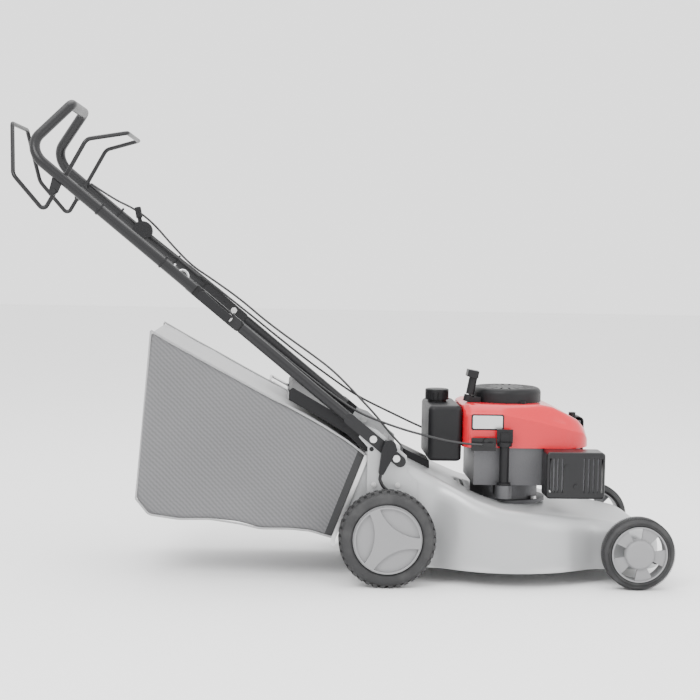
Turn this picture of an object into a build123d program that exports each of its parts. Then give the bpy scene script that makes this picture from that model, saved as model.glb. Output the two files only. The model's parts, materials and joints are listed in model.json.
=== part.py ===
"""Self-propelled petrol lawn mower with a rear grass bag, in millimetres.

+X points to the front of the mower, +Y to its left side and +Z up. The model is drawn with
X = 0 at the rear wheels' centre and Z = 0 on the ground, and is moved at the end so that the
origin is at the centre of the bounding box, on the ground. "right" is the -Y side.
"""

import os
from math import atan2, cos, degrees, hypot, pi, radians, sin, tan

from build123d import *

# ---------------------------------------------------------------- driving dimensions
WHEELBASE = 523.0
OVERALL_HALF_W = 255.0
REAR_R = 101.5
FRONT_R = 76.2
RUN_GAP = 0.05  # radial clearance of a running fit
SKIN_GAP = 0.4  # clearance between faces of pieces that move past each other

# wheels
TYRE_W = 42.0
FRONT_TYRE_W = 38.0
TYRE_INSET = 5.0  # the tyre's outer face, in from the widest point
REAR_RIM_R = 72.0
FRONT_RIM_R = 58.0
RIM_WALL = 5.0
WEB_T = 5.0
SHAFT_R = 6.3
FRONT_SPINDLE_R = 5.95
COVER_T = 2.7
STAR_H = 3.2
FRONT_DOME_R = 31.0
FRONT_WINDOW_DEG = 34.0

# deck
DECK_T = 2.5
DECK_HALF_W = 182.0
DECK_REAR_X = 35.0
DECK_NOSE_X = 590.0
DECK_BULGE_R = 240.0
DECK_NOSE_R = 60.0
DECK_BOTTOM_Z = 32.0
ENGINE_X = 272.0
PAD_Z = 152.0
PAD_R = 100.0
BOLT_CIRCLE_R = 82.0
TUNNEL_HALF_W = 160.0
TUNNEL_FLOOR_Z = 140.0
TUNNEL_ROOF_Z = 247.0
TUNNEL_END_X = -41.5  # where the tunnel's roof ends
MOUTH_SLOPE = degrees(atan2(67.0, 176.0))  # the bag mouth leans back from the vertical

# height adjustment
REAR_PIVOT = (70.0, 78.0)
FRONT_PIVOT = (571.0, 58.0)
REAR_TUBE_R = 9.0
FRONT_ROD_R = 7.0
LEVER_R = 3.5
ARM_T = 6.0
ARM_IN = 192.0  # inner face of the axle arms

# handle
TUBE_R = 11.0
TUBE_WALL = 1.6
LOWER_Y = 180.0
UPPER_Y = 190.0
BAR_T = 5.0
BAR_W = 24.0
BRACKET_Y = 185.3  # outer face of the side plates
JOINT_Y = 181.2  # the plane between the two flattened handle ends
HANDLE_FOOT = (29.0, 254.4)
HANDLE_SLOPE = radians(39.19)
BRACKET_TOP_X = -60.0
JOINT_X = -334.5
LOWER_END_X = -392.0
UPPER_END_X = -311.0
BEND = (-750.0, 889.5)
CROSSBAR = (-670.0, 987.0)
CROSSBAR_HALF_W = 100.0
BEND_R = 47.0
CROSSBAR_R = 22.0
JOINT_BOLT_R = 4.0
CAM_R = 6.8  # round back end of the joint's cam lever
CAM_Y = JOINT_Y + 7.4 + CAM_R
CAM_HALF = 8.0
CAM_PIN_R = 3.6
PLATE_BOLTS = [(-30.0, 302.5), (19.0, 262.5)]
PLATE_BOLT_R = 4.0

# bails
WIRE_R = 4.5
BAIL_Y = 172.0
DRIVE_PIVOT = (-692.0, 803.0)
DRIVE_CORNER = (-715.0, 763.0)
DRIVE_BEND = (-778.0, 836.0)
DRIVE_TOP = (-794.0, 946.0)
DRIVE_HALF_W = 92.0
BRAKE_PIVOT = (-675.0, 828.4)
BRAKE_BEND = (-629.0, 911.0)
BRAKE_TOP = (-551.0, 929.0)
BRAKE_HALF_W = 120.0

# engine
SHROUD_X = (168.0, 447.0)
SHROUD_HALF_W = 112.0
SHROUD_BOTTOM_Z = 277.0
SHROUD_TOP_Z = 369.0
SHROUD_NOSE_Z = 296.0
SHROUD_T = 2.5
CRANK_R = 12.5
DOME_R = 77.5
DOME_TOP_Z = 400.0
TANK_X = (94.0, 166.0)
TANK_Y = (-100.0, 88.0)
TANK_Z = (245.0, 365.0)
CAP_X = 120.0
CAP_R = 26.0
NECK_R = 17.0
DIPSTICK_XY = (254.0, -128.0)
FILLER_R = 10.0
FILLER_BORE_R = 7.5
GUARD_X = (338.0, 463.0)
GUARD_Y = (-172.0, -112.0)
GUARD_Z = (178.0, 277.0)
FILTER_X = (378.0, 472.0)
FILTER_Y = (115.0, 170.0)
FILTER_Z = (226.0, 322.0)
BLADE_HALF_L = 225.0
BLADE_W = 52.0
BLADE_T = 3.5
BLADE_Z = 46.0

# bag and flap
BAG_HALF_W = 178.0
BAG_T = 2.5
MOUTH_HALF_W = 166.0
MOUTH_TOP = (-46.0, 266.0)
MOUTH_FOOT = (-113.0, 90.0)
FLAP_HINGE = (-33.0, 281.0)
FLAP_HALF_W = 158.0
FLAP_T = 3.0
CABLE_R = 2.5
THROTTLE_X = -545.0

parts = {}


# ---------------------------------------------------------------- helpers
def block(x0, x1, y0, y1, z0, z1):
    """A box between two corners."""
    return Pos((x0 + x1) / 2, (y0 + y1) / 2, (z0 + z1) / 2) * Box(abs(x1 - x0), abs(y1 - y0), abs(z1 - z0))


def rod_y(r, x, z, y0, y1):
    """A cylinder along Y."""
    return Pos(x, (y0 + y1) / 2, z) * Rot(90, 0, 0) * Cylinder(r, abs(y1 - y0))


def rod_z(r, x, y, z0, z1):
    """A cylinder along Z."""
    return Pos(x, y, (z0 + z1) / 2) * Cylinder(r, abs(z1 - z0))


def rod_x(r, y, z, x0, x1):
    """A cylinder along X."""
    return Pos((x0 + x1) / 2, y, z) * Rot(0, 90, 0) * Cylinder(r, abs(x1 - x0))


def side_plate(points, y0, y1):
    """A flat piece drawn in the X-Z plane, between two Y values."""
    face = make_face(Polyline(*[(x, 0, z) for x, z in points], close=True))
    return Pos(0, min(y0, y1), 0) * extrude(face, amount=abs(y1 - y0), dir=(0, 1, 0))


def rod_between(r, a, b):
    """A cylinder from point a to point b."""
    line = Line(a, b)
    return Solid.extrude(Plane(origin=a, z_dir=Vector(*b) - Vector(*a)) * Circle(r).face(), line % 0 * line.length)


def swept(points, radii, r, bore=0.0):
    """A round bar or tube along straight runs with rounded corners."""
    path = FilletPolyline(*points, radius=radii)
    start = Plane(origin=path @ 0, z_dir=path % 0)
    ring = start * Circle(r)
    if bore > 0:
        ring = ring - start * Circle(bore)
    return sweep(ring, path=path)


def turn_radii(points, share=0.45):
    """The largest arc that each corner of a cable's route has room for."""
    radii = []
    for before, corner, after in zip(points, points[1:], points[2:]):
        a = Vector(*corner) - Vector(*before)
        b = Vector(*after) - Vector(*corner)
        half_turn = radians(a.get_angle(b)) / 2
        radii.append(share * min(a.length, b.length) / tan(half_turn))
    return radii


def flip(shape):
    """The same shape on the other side of the mower."""
    return mirror(shape, about=Plane.XZ)


def sided(build):
    """Right and left copies of a shape that is drawn on the left (+Y) side."""
    left = build()
    return {"right": flip(left), "left": left}


def handle_z(x):
    """Height of the handle's centre line at a given X."""
    return HANDLE_FOOT[1] + (HANDLE_FOOT[0] - x) * tan(HANDLE_SLOPE)


def add(name, *shapes):
    """Record one node; several separate solids are kept as a group."""
    parts[name] = shapes[0] if len(shapes) == 1 else Compound(children=list(shapes))


def end_bore(points):
    """The clearance hole round a cable's last stretch, running a little past its end."""
    before, end = Vector(*points[-2]), Vector(*points[-1])
    way = (end - before).normalized()
    start, stop = end - way * 14, end + way * 1
    return rod_between(CABLE_R + SKIN_GAP, (start.X, start.Y, start.Z), (stop.X, stop.Y, stop.Z))


# ---------------------------------------------------------------- deck
def deck_profile(inset):
    """The deck's side outline, moved in by a wall's thickness."""
    top = [(35, 254), (107, 219), (188, 180), (240, 164), (371, 146), (472, 130), (560, 112), (590, 88)]
    points = [(DECK_REAR_X + inset, -50)]
    points += [(max(x, DECK_REAR_X + inset), z - inset * 1.1) for x, z in top]
    points[-1] = (DECK_NOSE_X - inset, points[-1][1])
    points += [(DECK_NOSE_X - inset, -50)]
    return side_plate(points, -300, 300)


def deck_body(inset, bottom):
    """The deck's outer or inner form: a drum about the blade joined to a long box."""
    drum = rod_z(DECK_BULGE_R - inset, ENGINE_X, 0, bottom, 300)
    half = DECK_HALF_W - inset
    length = DECK_NOSE_X - DECK_REAR_X - 2 * inset
    box = Pos((DECK_REAR_X + DECK_NOSE_X) / 2, 0, (bottom + 300) / 2) * Box(length, 2 * half, 300 - bottom)
    nose = box.edges().filter_by(Axis.Z).sort_by(Axis.X)[-2:]
    box = fillet(nose, DECK_NOSE_R - inset)
    return (drum + box) & deck_profile(inset)


def tunnel(inset, roof_x):
    """The discharge tunnel from the deck's rear wall to the bag's mouth."""
    slope = tan(radians(MOUTH_SLOPE))
    top = TUNNEL_ROOF_Z - inset
    floor = TUNNEL_FLOOR_Z + inset
    drop = top - floor
    front = DECK_REAR_X + 6 + 4 * inset
    points = [(roof_x, top), (front, top), (front, floor), (roof_x - drop * slope, floor)]
    return side_plate(points, -TUNNEL_HALF_W + inset, TUNNEL_HALF_W - inset)


def make_deck():
    outer = deck_body(0, DECK_BOTTOM_Z) - rod_z(PAD_R, ENGINE_X, 0, PAD_Z, 400)
    inner = deck_body(DECK_T, -60) - rod_z(PAD_R + DECK_T, ENGINE_X, 0, PAD_Z - DECK_T, 400)
    shell = outer + tunnel(0, TUNNEL_END_X)
    shell = shell - inner
    shell = shell - tunnel(DECK_T, TUNNEL_END_X - 20)
    shell = shell - rod_z(32, ENGINE_X, 0, 100, 200)
    for angle in (45, 135, 225, 315):
        x = ENGINE_X + BOLT_CIRCLE_R * cos(radians(angle))
        y = BOLT_CIRCLE_R * sin(radians(angle))
        shell = shell - rod_z(4.5, x, y, 100, 200)
    shell = shell - rod_y(REAR_TUBE_R + 0.5, *REAR_PIVOT, -300, 300)
    shell = shell - rod_y(FRONT_ROD_R + 0.5, *FRONT_PIVOT, -300, 300)
    add("deck_shell", shell.solids().sort_by(SortBy.VOLUME)[-1])


def plate_outline():
    """The side plate that carries the handle, with the height lever's notches below."""
    return [
        (-41, 150), (-41, 285), (-60, 306), (-47, 330), (-22, 321), (41, 268), (41, 236), (64, 214),
        (64, 160), (41, 150),
    ]


def make_side_plates():
    def left():
        plate = side_plate(plate_outline(), DECK_HALF_W + 0.0, BRACKET_Y)
        for x, z in PLATE_BOLTS:
            plate = plate - rod_y(PLATE_BOLT_R + 0.2, x, z, 100, 250)
        for x in (-27, 23):
            plate = plate - rod_y(3.2, x, 206, 100, 250)
        return plate - rod_y(5.0, *FLAP_HINGE, 100, 250)

    for side, shape in sided(left).items():
        add("side_plate_" + side, shape)


def bar(x0, x1, y0, y1):
    """A flattened stretch of handle tube along the handle's centre line, with round ends."""
    ends = [(x, handle_z(x)) for x in (x0, x1)]
    dx, dz = sin(HANDLE_SLOPE) * BAR_W / 2, cos(HANDLE_SLOPE) * BAR_W / 2
    corners = [
        (ends[0][0] + dx, ends[0][1] + dz), (ends[1][0] + dx, ends[1][1] + dz),
        (ends[1][0] - dx, ends[1][1] - dz), (ends[0][0] - dx, ends[0][1] - dz),
    ]
    flat = side_plate(corners, y0, y1)
    for x, z in ends:
        flat = flat + rod_y(BAR_W / 2, x, z, y0, y1)
    return flat


def straight_tube(x0, x1, y):
    a = (x0, y, handle_z(x0))
    b = (x1, y, handle_z(x1))
    return rod_between(TUBE_R, a, b) - rod_between(TUBE_R - TUBE_WALL, a, b)


def make_lower_handle():
    def left():
        tube = straight_tube(BRACKET_TOP_X - 14, LOWER_END_X + 84, LOWER_Y)
        foot = bar(HANDLE_FOOT[0] - 2, BRACKET_TOP_X - 20, BRACKET_Y + 0.3, BRACKET_Y + 0.3 + BAR_T)
        head = bar(LOWER_END_X + 78, LOWER_END_X, JOINT_Y - 0.2 - BAR_T, JOINT_Y - 0.2)
        leg = tube + foot + head
        for x, z in PLATE_BOLTS:
            leg = leg - rod_y(PLATE_BOLT_R + 0.2, x, z, 100, 250)
        return leg - rod_y(JOINT_BOLT_R + RUN_GAP, JOINT_X, handle_z(JOINT_X), 100, 250)

    for side, shape in sided(left).items():
        add("lower_handle_" + side, shape)


def make_handle_bolts():
    def bolts():
        out = []
        for x, z in PLATE_BOLTS:
            shank = rod_y(PLATE_BOLT_R, x, z, DECK_HALF_W - 6, BRACKET_Y + BAR_T + 2)
            head = rod_y(7.5, x, z, BRACKET_Y + 0.3 + BAR_T, BRACKET_Y + 0.3 + BAR_T + 3.4)
            nut = rod_y(7, x, z, DECK_HALF_W - 7, DECK_HALF_W - 0.1)
            out.append(shank + head + nut)
        for x in (-27, 23):
            shank = rod_y(3, x, 206, DECK_HALF_W - 5, BRACKET_Y + 2)
            head = rod_y(5.5, x, 206, BRACKET_Y, BRACKET_Y + 3)
            nut = rod_y(5.5, x, 206, DECK_HALF_W - 5, DECK_HALF_W - 0.1)
            out.append(shank + head + nut)
        return out

    left = bolts()
    add("handle_bolts", *(left + [flip(b) for b in left]))


# ---------------------------------------------------------------- axles and wheels
def arm(pivot, wheel, y0, y1, r0, r1):
    """An axle arm: two round bosses and the strap between them."""
    dx, dz = wheel[0] - pivot[0], wheel[1] - pivot[1]
    length = hypot(dx, dz)
    nx, nz = -dz / length, dx / length
    strap = side_plate([
        (pivot[0] + nx * r0, pivot[1] + nz * r0), (wheel[0] + nx * r1, wheel[1] + nz * r1),
        (wheel[0] - nx * r1, wheel[1] - nz * r1), (pivot[0] - nx * r0, pivot[1] - nz * r0),
    ], y0, y1)
    return strap + rod_y(r0, *pivot, y0, y1) + rod_y(r1, *wheel, y0, y1)


def make_rear_axle():
    wheel = (0.0, REAR_R)
    bored = SHAFT_R + RUN_GAP
    tube = rod_y(REAR_TUBE_R, *REAR_PIVOT, -ARM_IN - 1, ARM_IN + 1)
    carrier = tube
    for s in (1, -1):
        carrier = carrier + arm(REAR_PIVOT, wheel, s * ARM_IN, s * (ARM_IN + ARM_T), 15, 14)
        carrier = carrier - rod_y(bored, *wheel, s * (ARM_IN - 3), s * (ARM_IN + ARM_T + 3))
    add("rear_axle_carrier", carrier)
    end = OVERALL_HALF_W - 8
    shaft = rod_y(SHAFT_R, *wheel, -end, end)
    for s in (1, -1):
        shaft = shaft + rod_y(9.5, *wheel, s * (OVERALL_HALF_W - 15.5), s * end)
    add("drive_shaft", shaft)
    case = rod_y(31, *wheel, -26, 26)
    case = case + rod_y(13, *wheel, -38, 38)
    case = case + rod_z(14, 17, 0, REAR_R - 8, REAR_R + 32)  # input shaft's housing, clear of the deck at full lift
    case = case - rod_y(bored, *wheel, -60, 60)
    add("gearbox", case & block(-60, 62, -60, 60, 60, TUNNEL_FLOOR_Z - 2))


def make_height_lever():
    y = -203.0
    foot = (62.0, y, 92.0)
    bend, tip = (-16, y, 220), (-8, y, 262)
    lever = swept([foot, (22, y, 178), (-9, y, 206), bend, tip], [20, 14, 10], LEVER_R)
    lever = lever + rod_y(10, foot[0], foot[2], y - LEVER_R - 0.7, -ARM_IN - ARM_T + 1)
    add("height_lever", lever)
    knob = side_plate([
        (-19, 232), (-9, 231), (19, 283), (15, 297), (6, 304), (-5, 302), (-12, 286),
    ], -214, -194)
    knob = fillet(knob.edges().filter_by(Axis.Y), 3)
    way = (Vector(*tip) - Vector(*bend)).normalized()
    start, stop = Vector(*bend) + way * 5, Vector(*tip) + way * 0.3
    socket = rod_between(LEVER_R + RUN_GAP, (start.X, start.Y, start.Z), (stop.X, stop.Y, stop.Z))
    add("height_knob", knob - socket)


def make_front_axle():
    wheel = (WHEELBASE, FRONT_R)
    end = OVERALL_HALF_W - 10
    axle = rod_y(FRONT_ROD_R, *FRONT_PIVOT, -ARM_IN - 1, ARM_IN + 1)
    for s in (1, -1):
        axle = axle + arm(FRONT_PIVOT, wheel, s * ARM_IN, s * (ARM_IN + ARM_T), 12, 11)
        axle = axle + rod_y(FRONT_SPINDLE_R, *wheel, s * ARM_IN, s * end)
        axle = axle + rod_y(9, *wheel, s * (OVERALL_HALF_W - 17.5), s * end)
    add("front_axle", axle)


def revolved(points, x, z):
    """Turn a section of (radius, Y) points about the wheel's axis."""
    face = make_face(Polyline(*[(r, y, 0) for r, y in points], close=True))
    return Pos(x, 0, z) * revolve(face, axis=Axis.Y)


def tyre(x, r, inner, width):
    """A tyre with rounded shoulders."""
    y1 = OVERALL_HALF_W - TYRE_INSET
    y0 = y1 - width
    shoulder = 6.0
    return revolved([
        (inner, y0 + 3), (inner + 4, y0), (r - shoulder, y0), (r - 2, y0 + shoulder - 3), (r, y0 + shoulder + 2),
        (r, y1 - shoulder - 2), (r - 2, y1 - shoulder + 3), (r - shoulder, y1), (inner + 4, y1), (inner, y1 - 3),
    ], x, r)


def lens(angle, z0):
    """One of the three sunk panels of the rear wheel's cover."""
    bulge_r, centre = 93.9, 121.5
    cx = centre * cos(radians(angle))
    cz = centre * sin(radians(angle))
    return rod_y(bulge_r, cx, z0 + cz, 200, 300) & rod_y(66, 0, z0, 200, 300)


def make_rear_wheels():
    z = REAR_R
    face = OVERALL_HALF_W - TYRE_INSET
    add_y = face - TYRE_W

    def rim():
        barrel = revolved([
            (REAR_RIM_R, add_y + 2), (REAR_RIM_R, face - 4), (REAR_RIM_R - RIM_WALL, face - 4),
            (REAR_RIM_R - RIM_WALL, add_y + 2),
        ], 0, z)
        web = rod_y(REAR_RIM_R - 1, 0, z, face - 20, face - 20 + WEB_T)
        boss = rod_y(16, 0, z, add_y - 4, OVERALL_HALF_W - 17.5)
        shape = barrel + web + boss
        for k in range(6):
            a = radians(60 * k + 30)
            shape = shape - rod_y(13, 42 * cos(a), z + 42 * sin(a), 200, 260)
        return shape - rod_y(SHAFT_R + RUN_GAP, 0, z, 190, 270)

    def cover():
        disc = rod_y(REAR_RIM_R - 0.5, 0, z, face - 4, face - 4 + COVER_T)
        star = rod_y(69, 0, z, face - 3, OVERALL_HALF_W - 0.2)
        for angle in (55, 175, 295):
            star = star - lens(angle, z)
        shape = disc + star
        return shape - rod_y(13, 0, z, 230, OVERALL_HALF_W - 6)

    for side, shape in sided(lambda: tyre(0, REAR_R, REAR_RIM_R, TYRE_W)).items():
        add("tyre_rear_" + side, shape)
    for side, shape in sided(rim).items():
        add("rim_rear_" + side, shape)
    for side, shape in sided(cover).items():
        add("cover_rear_" + side, shape)


def make_front_wheels():
    x, z = WHEELBASE, FRONT_R
    face = OVERALL_HALF_W - TYRE_INSET
    inner_y = face - FRONT_TYRE_W

    def rim():
        barrel = revolved([
            (FRONT_RIM_R, inner_y + 2), (FRONT_RIM_R, face), (FRONT_RIM_R - 3, face),
            (FRONT_RIM_R - 3, inner_y + 2),
        ], x, z)
        web = rod_y(FRONT_RIM_R - 1, x, z, face - 8, face - 3)
        for k in range(5):
            a = 100 + 72 * k
            wedge = revolved([
                (FRONT_DOME_R + 0.6, 220), (FRONT_RIM_R - 3.2, 220), (FRONT_RIM_R - 3.2, 260),
                (FRONT_DOME_R + 0.6, 260),
            ], x, z)
            half = radians(FRONT_WINDOW_DEG / 2)
            reach = 70 / cos(half)
            fan = side_plate([
                (x, z),
                (x + reach * cos(radians(a) - half), z + reach * sin(radians(a) - half)),
                (x + reach * cos(radians(a) + half), z + reach * sin(radians(a) + half)),
            ], 220, 260)
            web = web - (wedge & fan)
        dome = rod_y(FRONT_DOME_R, x, z, face - 14, OVERALL_HALF_W)
        dome = fillet(dome.edges().sort_by(Axis.Y)[-1], 7)
        boss = rod_y(13.5, x, z, inner_y - 6, OVERALL_HALF_W - 18)
        boss = boss + rod_y(FRONT_DOME_R - 1, x, z, face - 19, face - 13)
        shape = barrel + web + dome + boss - rod_y(12, x, z, OVERALL_HALF_W - 18, OVERALL_HALF_W - 6)
        return shape - rod_y(FRONT_SPINDLE_R + RUN_GAP, x, z, 190, OVERALL_HALF_W - 16)

    for side, shape in sided(lambda: tyre(x, FRONT_R, FRONT_RIM_R, FRONT_TYRE_W)).items():
        add("tyre_front_" + side, shape)
    for side, shape in sided(rim).items():
        add("rim_front_" + side, shape)


# ---------------------------------------------------------------- engine
def make_engine_core():
    base = rod_z(90, ENGINE_X, 0, PAD_Z, PAD_Z + 8) + rod_z(74, ENGINE_X, 0, PAD_Z + 7, 196)
    base = base + rod_z(17, DIPSTICK_XY[0], DIPSTICK_XY[1], 172, 200)
    base = base + block(240, 268, DIPSTICK_XY[1], -60, 172, 196)
    base = base - rod_z(64, ENGINE_X, 0, PAD_Z + 8, 188)
    base = base - rod_z(CRANK_R + RUN_GAP, ENGINE_X, 0, 100, 220)
    base = base - rod_z(FILLER_BORE_R, DIPSTICK_XY[0], DIPSTICK_XY[1], 170, 220)
    for angle in (45, 135, 225, 315):
        x = ENGINE_X + BOLT_CIRCLE_R * cos(radians(angle))
        y = BOLT_CIRCLE_R * sin(radians(angle))
        base = base - rod_z(4.5, x, y, 140, 165)
    add("engine_base", base)

    case = block(192, 340, -104, 86, 196, 276)
    case = case - block(202, 330, -94, 76, 196, 268)
    case = case - rod_z(CRANK_R + RUN_GAP, ENGINE_X, 0, 180, 300)
    case = case + block(339, 346, -62, 62, 198, 274)
    for k in range(8):
        fin_x = 346 + 10 * k
        case = case + block(fin_x, fin_x + 3.5, -70, 70, 192, 275)
    case = case + rod_x(38, 0, 234, 340, 424)
    case = case - rod_x(31, 0, 234, 338, 412)
    case = case - rod_x(5.2, 0, 234, 400, 440)
    add("crankcase", case)

    head = Pos(0, 0, PAD_Z + 8.1) * extrude(RegularPolygon(6.5, 6), amount=5.9)
    bolt = rod_z(4, 0, 0, PAD_Z - 12, PAD_Z + 10) + head
    bolts = []
    for angle in (45, 135, 225, 315):
        x = ENGINE_X + BOLT_CIRCLE_R * cos(radians(angle))
        y = BOLT_CIRCLE_R * sin(radians(angle))
        bolts.append(Pos(x, y, 0) * Rot(0, 0, 30) * bolt)
    add("engine_bolts", *bolts)


def shroud_form(inset):
    """The red cowl's form: flat over the flywheel, then sloping down to the cylinder's end."""
    x0, x1 = SHROUD_X
    points = [
        (x0 + inset, SHROUD_BOTTOM_Z), (x0 + inset, SHROUD_TOP_Z - inset), (332, SHROUD_TOP_Z - inset),
        (362, 364 - inset), (392, 350 - inset), (420, 335 - inset), (439, 315 - inset),
        (x1 - inset, SHROUD_NOSE_Z - inset), (x1 - inset, SHROUD_BOTTOM_Z),
    ]
    half = SHROUD_HALF_W - inset
    form = side_plate(points, -half, half)
    plan = Pos((x0 + x1) / 2, 0, 320) * Box(x1 - x0 - 2 * inset, 2 * half, 200)
    uprights = plan.edges().filter_by(Axis.Z).sort_by(Axis.X)
    plan = fillet(uprights[:2], 26 - inset)
    plan = fillet(plan.edges().filter_by(Axis.Z).sort_by(Axis.X)[-2:], 70 - inset)
    return form & plan


def make_shroud():
    outer = shroud_form(0)
    inner = shroud_form(SHROUD_T)
    inner = inner + Pos(0, 0, -6) * inner
    cowl = outer - inner
    cowl = cowl - rod_z(DOME_R - 6, ENGINE_X, 0, 340, 420)
    add("shroud", cowl)

    dome = rod_z(DOME_R, ENGINE_X, 0, SHROUD_TOP_Z + 0.0, DOME_TOP_Z)
    dome = fillet(dome.edges().sort_by(Axis.Z)[-1], 12)
    dome = dome - rod_z(DOME_R - 4, ENGINE_X, 0, SHROUD_TOP_Z - 1, DOME_TOP_Z - 8)
    slot = block(38, 66, -2.2, 2.2, 380, 420)
    for k in range(20):
        dome = dome - Pos(ENGINE_X, 0, 0) * Rot(0, 0, 18 * k) * slot
    for s in (50, 170, 290):
        x = ENGINE_X + (DOME_R - 1) * cos(radians(s))
        y = (DOME_R - 1) * sin(radians(s))
        dome = dome + rod_z(8, x, y, SHROUD_TOP_Z, SHROUD_TOP_Z + 5)
    rope_boss = rod_between(11, (183, -46, 370), (186, -46, 384)) + block(183, 210, -56, -36, 369, 380)
    dome = dome + (rope_boss - block(160, 230, -80, -10, 340, SHROUD_TOP_Z))
    dome = dome - rod_between(3.2, (183, -46, 366), (189, -46, 396))
    dome = dome - block(183, 215, -48.5, -43.5, 372, 376)
    add("recoil_housing", dome)

    grip = rod_between(9, (187.2, -46, 386), (196.6, -46, 436))
    grip = grip + Pos(192, -46, 431) * Rot(0, 10, 0) * Box(24, 34, 15)
    grip = grip + rod_between(2.4, (183.8, -46, 371.5), (187.5, -46, 388))
    add("starter_grip", grip)


def make_crank():
    shaft = rod_z(CRANK_R, ENGINE_X, 0, 70, 296) + rod_z(9.9, ENGINE_X, 0, 295, 334)
    shaft = shaft + rod_z(44, ENGINE_X, 0, 214, 226) + rod_z(44, ENGINE_X, 0, 242, 254)
    shaft = shaft - rod_z(5, ENGINE_X, 0, 60, 95)
    add("crankshaft", shaft)
    wheel = rod_z(66, ENGINE_X, 0, 286, 306) - rod_z(CRANK_R + 0.5, ENGINE_X, 0, 280, 297)
    wheel = wheel - rod_z(54, ENGINE_X, 0, 280, 300)
    wheel = wheel + (rod_z(22, ENGINE_X, 0, 296.5, 312))
    for k in range(12):
        fan = Pos(ENGINE_X, 0, 0) * Rot(0, 0, 30 * k) * block(40, 64, -1.5, 1.5, 305, 330)
        wheel = wheel + fan
    wheel = wheel - rod_z(9.9, ENGINE_X, 0, 280, 330)
    add("flywheel", wheel)

    adapter = rod_z(34, ENGINE_X, 0, BLADE_Z + BLADE_T, BLADE_Z + BLADE_T + 7) + rod_z(21, ENGINE_X, 0, 52, 88)
    adapter = adapter + rod_z(30, ENGINE_X, 0, 88, 92) + rod_z(24, ENGINE_X, 0, 91, 99)
    adapter = adapter + rod_z(30, ENGINE_X, 0, 98, 102)
    adapter = adapter - rod_z(CRANK_R, ENGINE_X, 0, 70, 110) - rod_z(5.2, ENGINE_X, 0, 30, 75)
    add("blade_adapter", adapter)

    blade = block(ENGINE_X - BLADE_HALF_L, ENGINE_X + BLADE_HALF_L, -BLADE_W / 2, BLADE_W / 2,
                  BLADE_Z, BLADE_Z + BLADE_T)
    for s in (1, -1):
        x0, x1 = sorted((ENGINE_X + s * BLADE_HALF_L, ENGINE_X + s * (BLADE_HALF_L - 85)))
        lift = block(x0, x1, s * BLADE_W / 2 - s * 10, s * BLADE_W / 2, BLADE_Z, BLADE_Z + 15)
        blade = blade + lift
    blade = blade & rod_z(BLADE_HALF_L, ENGINE_X, 0, 0, 200)
    blade = blade - rod_z(5.2, ENGINE_X, 0, 0, 200)
    add("blade", blade)
    bolt = rod_z(4.9, ENGINE_X, 0, BLADE_Z - 1, 92) + rod_z(19, ENGINE_X, 0, BLADE_Z - 3, BLADE_Z)
    bolt = bolt + Pos(ENGINE_X, 0, BLADE_Z - 6.5) * extrude(RegularPolygon(9.5, 6), amount=5)
    add("blade_bolt", bolt)


def make_fuel():
    tank = block(*TANK_X, *TANK_Y, *TANK_Z)
    tank = fillet(tank.edges().filter_by(Axis.Z), 14)
    tank = fillet(tank.edges().group_by(Axis.Z)[-1], 10)
    tank = fillet(tank.edges().group_by(Axis.Z)[0], 8)
    hollow = block(TANK_X[0] + 3, TANK_X[1] - 3, TANK_Y[0] + 3, TANK_Y[1] - 3, TANK_Z[0] + 3, TANK_Z[1] - 3)
    hollow = fillet(hollow.edges().filter_by(Axis.Z), 11)
    hollow = fillet(hollow.edges().group_by(Axis.Z)[-1], 7)
    neck = rod_z(NECK_R + 4, CAP_X, 0, TANK_Z[1] - 8, TANK_Z[1] + 12)
    tank = tank + neck
    tank = tank - hollow - rod_z(NECK_R, CAP_X, 0, TANK_Z[1] - 12, TANK_Z[1] + 20)
    add("fuel_tank", tank)

    top = TANK_Z[1] + 28
    cap = rod_z(CAP_R, CAP_X, 0, TANK_Z[1] + 5, top)
    cap = fillet(cap.edges().sort_by(Axis.Z)[-1], 3)
    cap = cap - rod_z(NECK_R + 4 + SKIN_GAP, CAP_X, 0, TANK_Z[1], TANK_Z[1] + 12 + SKIN_GAP)
    for k in range(16):
        x = CAP_X + CAP_R * cos(2 * pi * k / 16)
        y = CAP_R * sin(2 * pi * k / 16)
        cap = cap - rod_z(1.6, x, y, 360, 386)
    add("fuel_cap", cap)


def make_oil_filler():
    x, y = DIPSTICK_XY
    tube = rod_z(FILLER_R, x, y, 196, 283) - rod_z(FILLER_BORE_R, x, y, 190, 290)
    tube = tube + (rod_z(15, x, y, 200, 205) - rod_z(FILLER_BORE_R, x, y, 190, 290))
    tube = tube & rod_z(40, x, y, 200, 283)
    add("oil_filler_tube", tube)
    stick = rod_z(2.4, x, y, 176, 284)
    stick = stick + rod_z(FILLER_BORE_R - 0.3, x, y, 270, 286)
    stick = stick + rod_z(16, x, y, 283 + SKIN_GAP, 292)
    stick = stick + block(x - 17, x + 17, y - 3.5, y + 3.5, 290, 319) + block(x - 9, x + 9, y - 6, y + 6, 290, 312)
    add("dipstick", stick)


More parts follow.
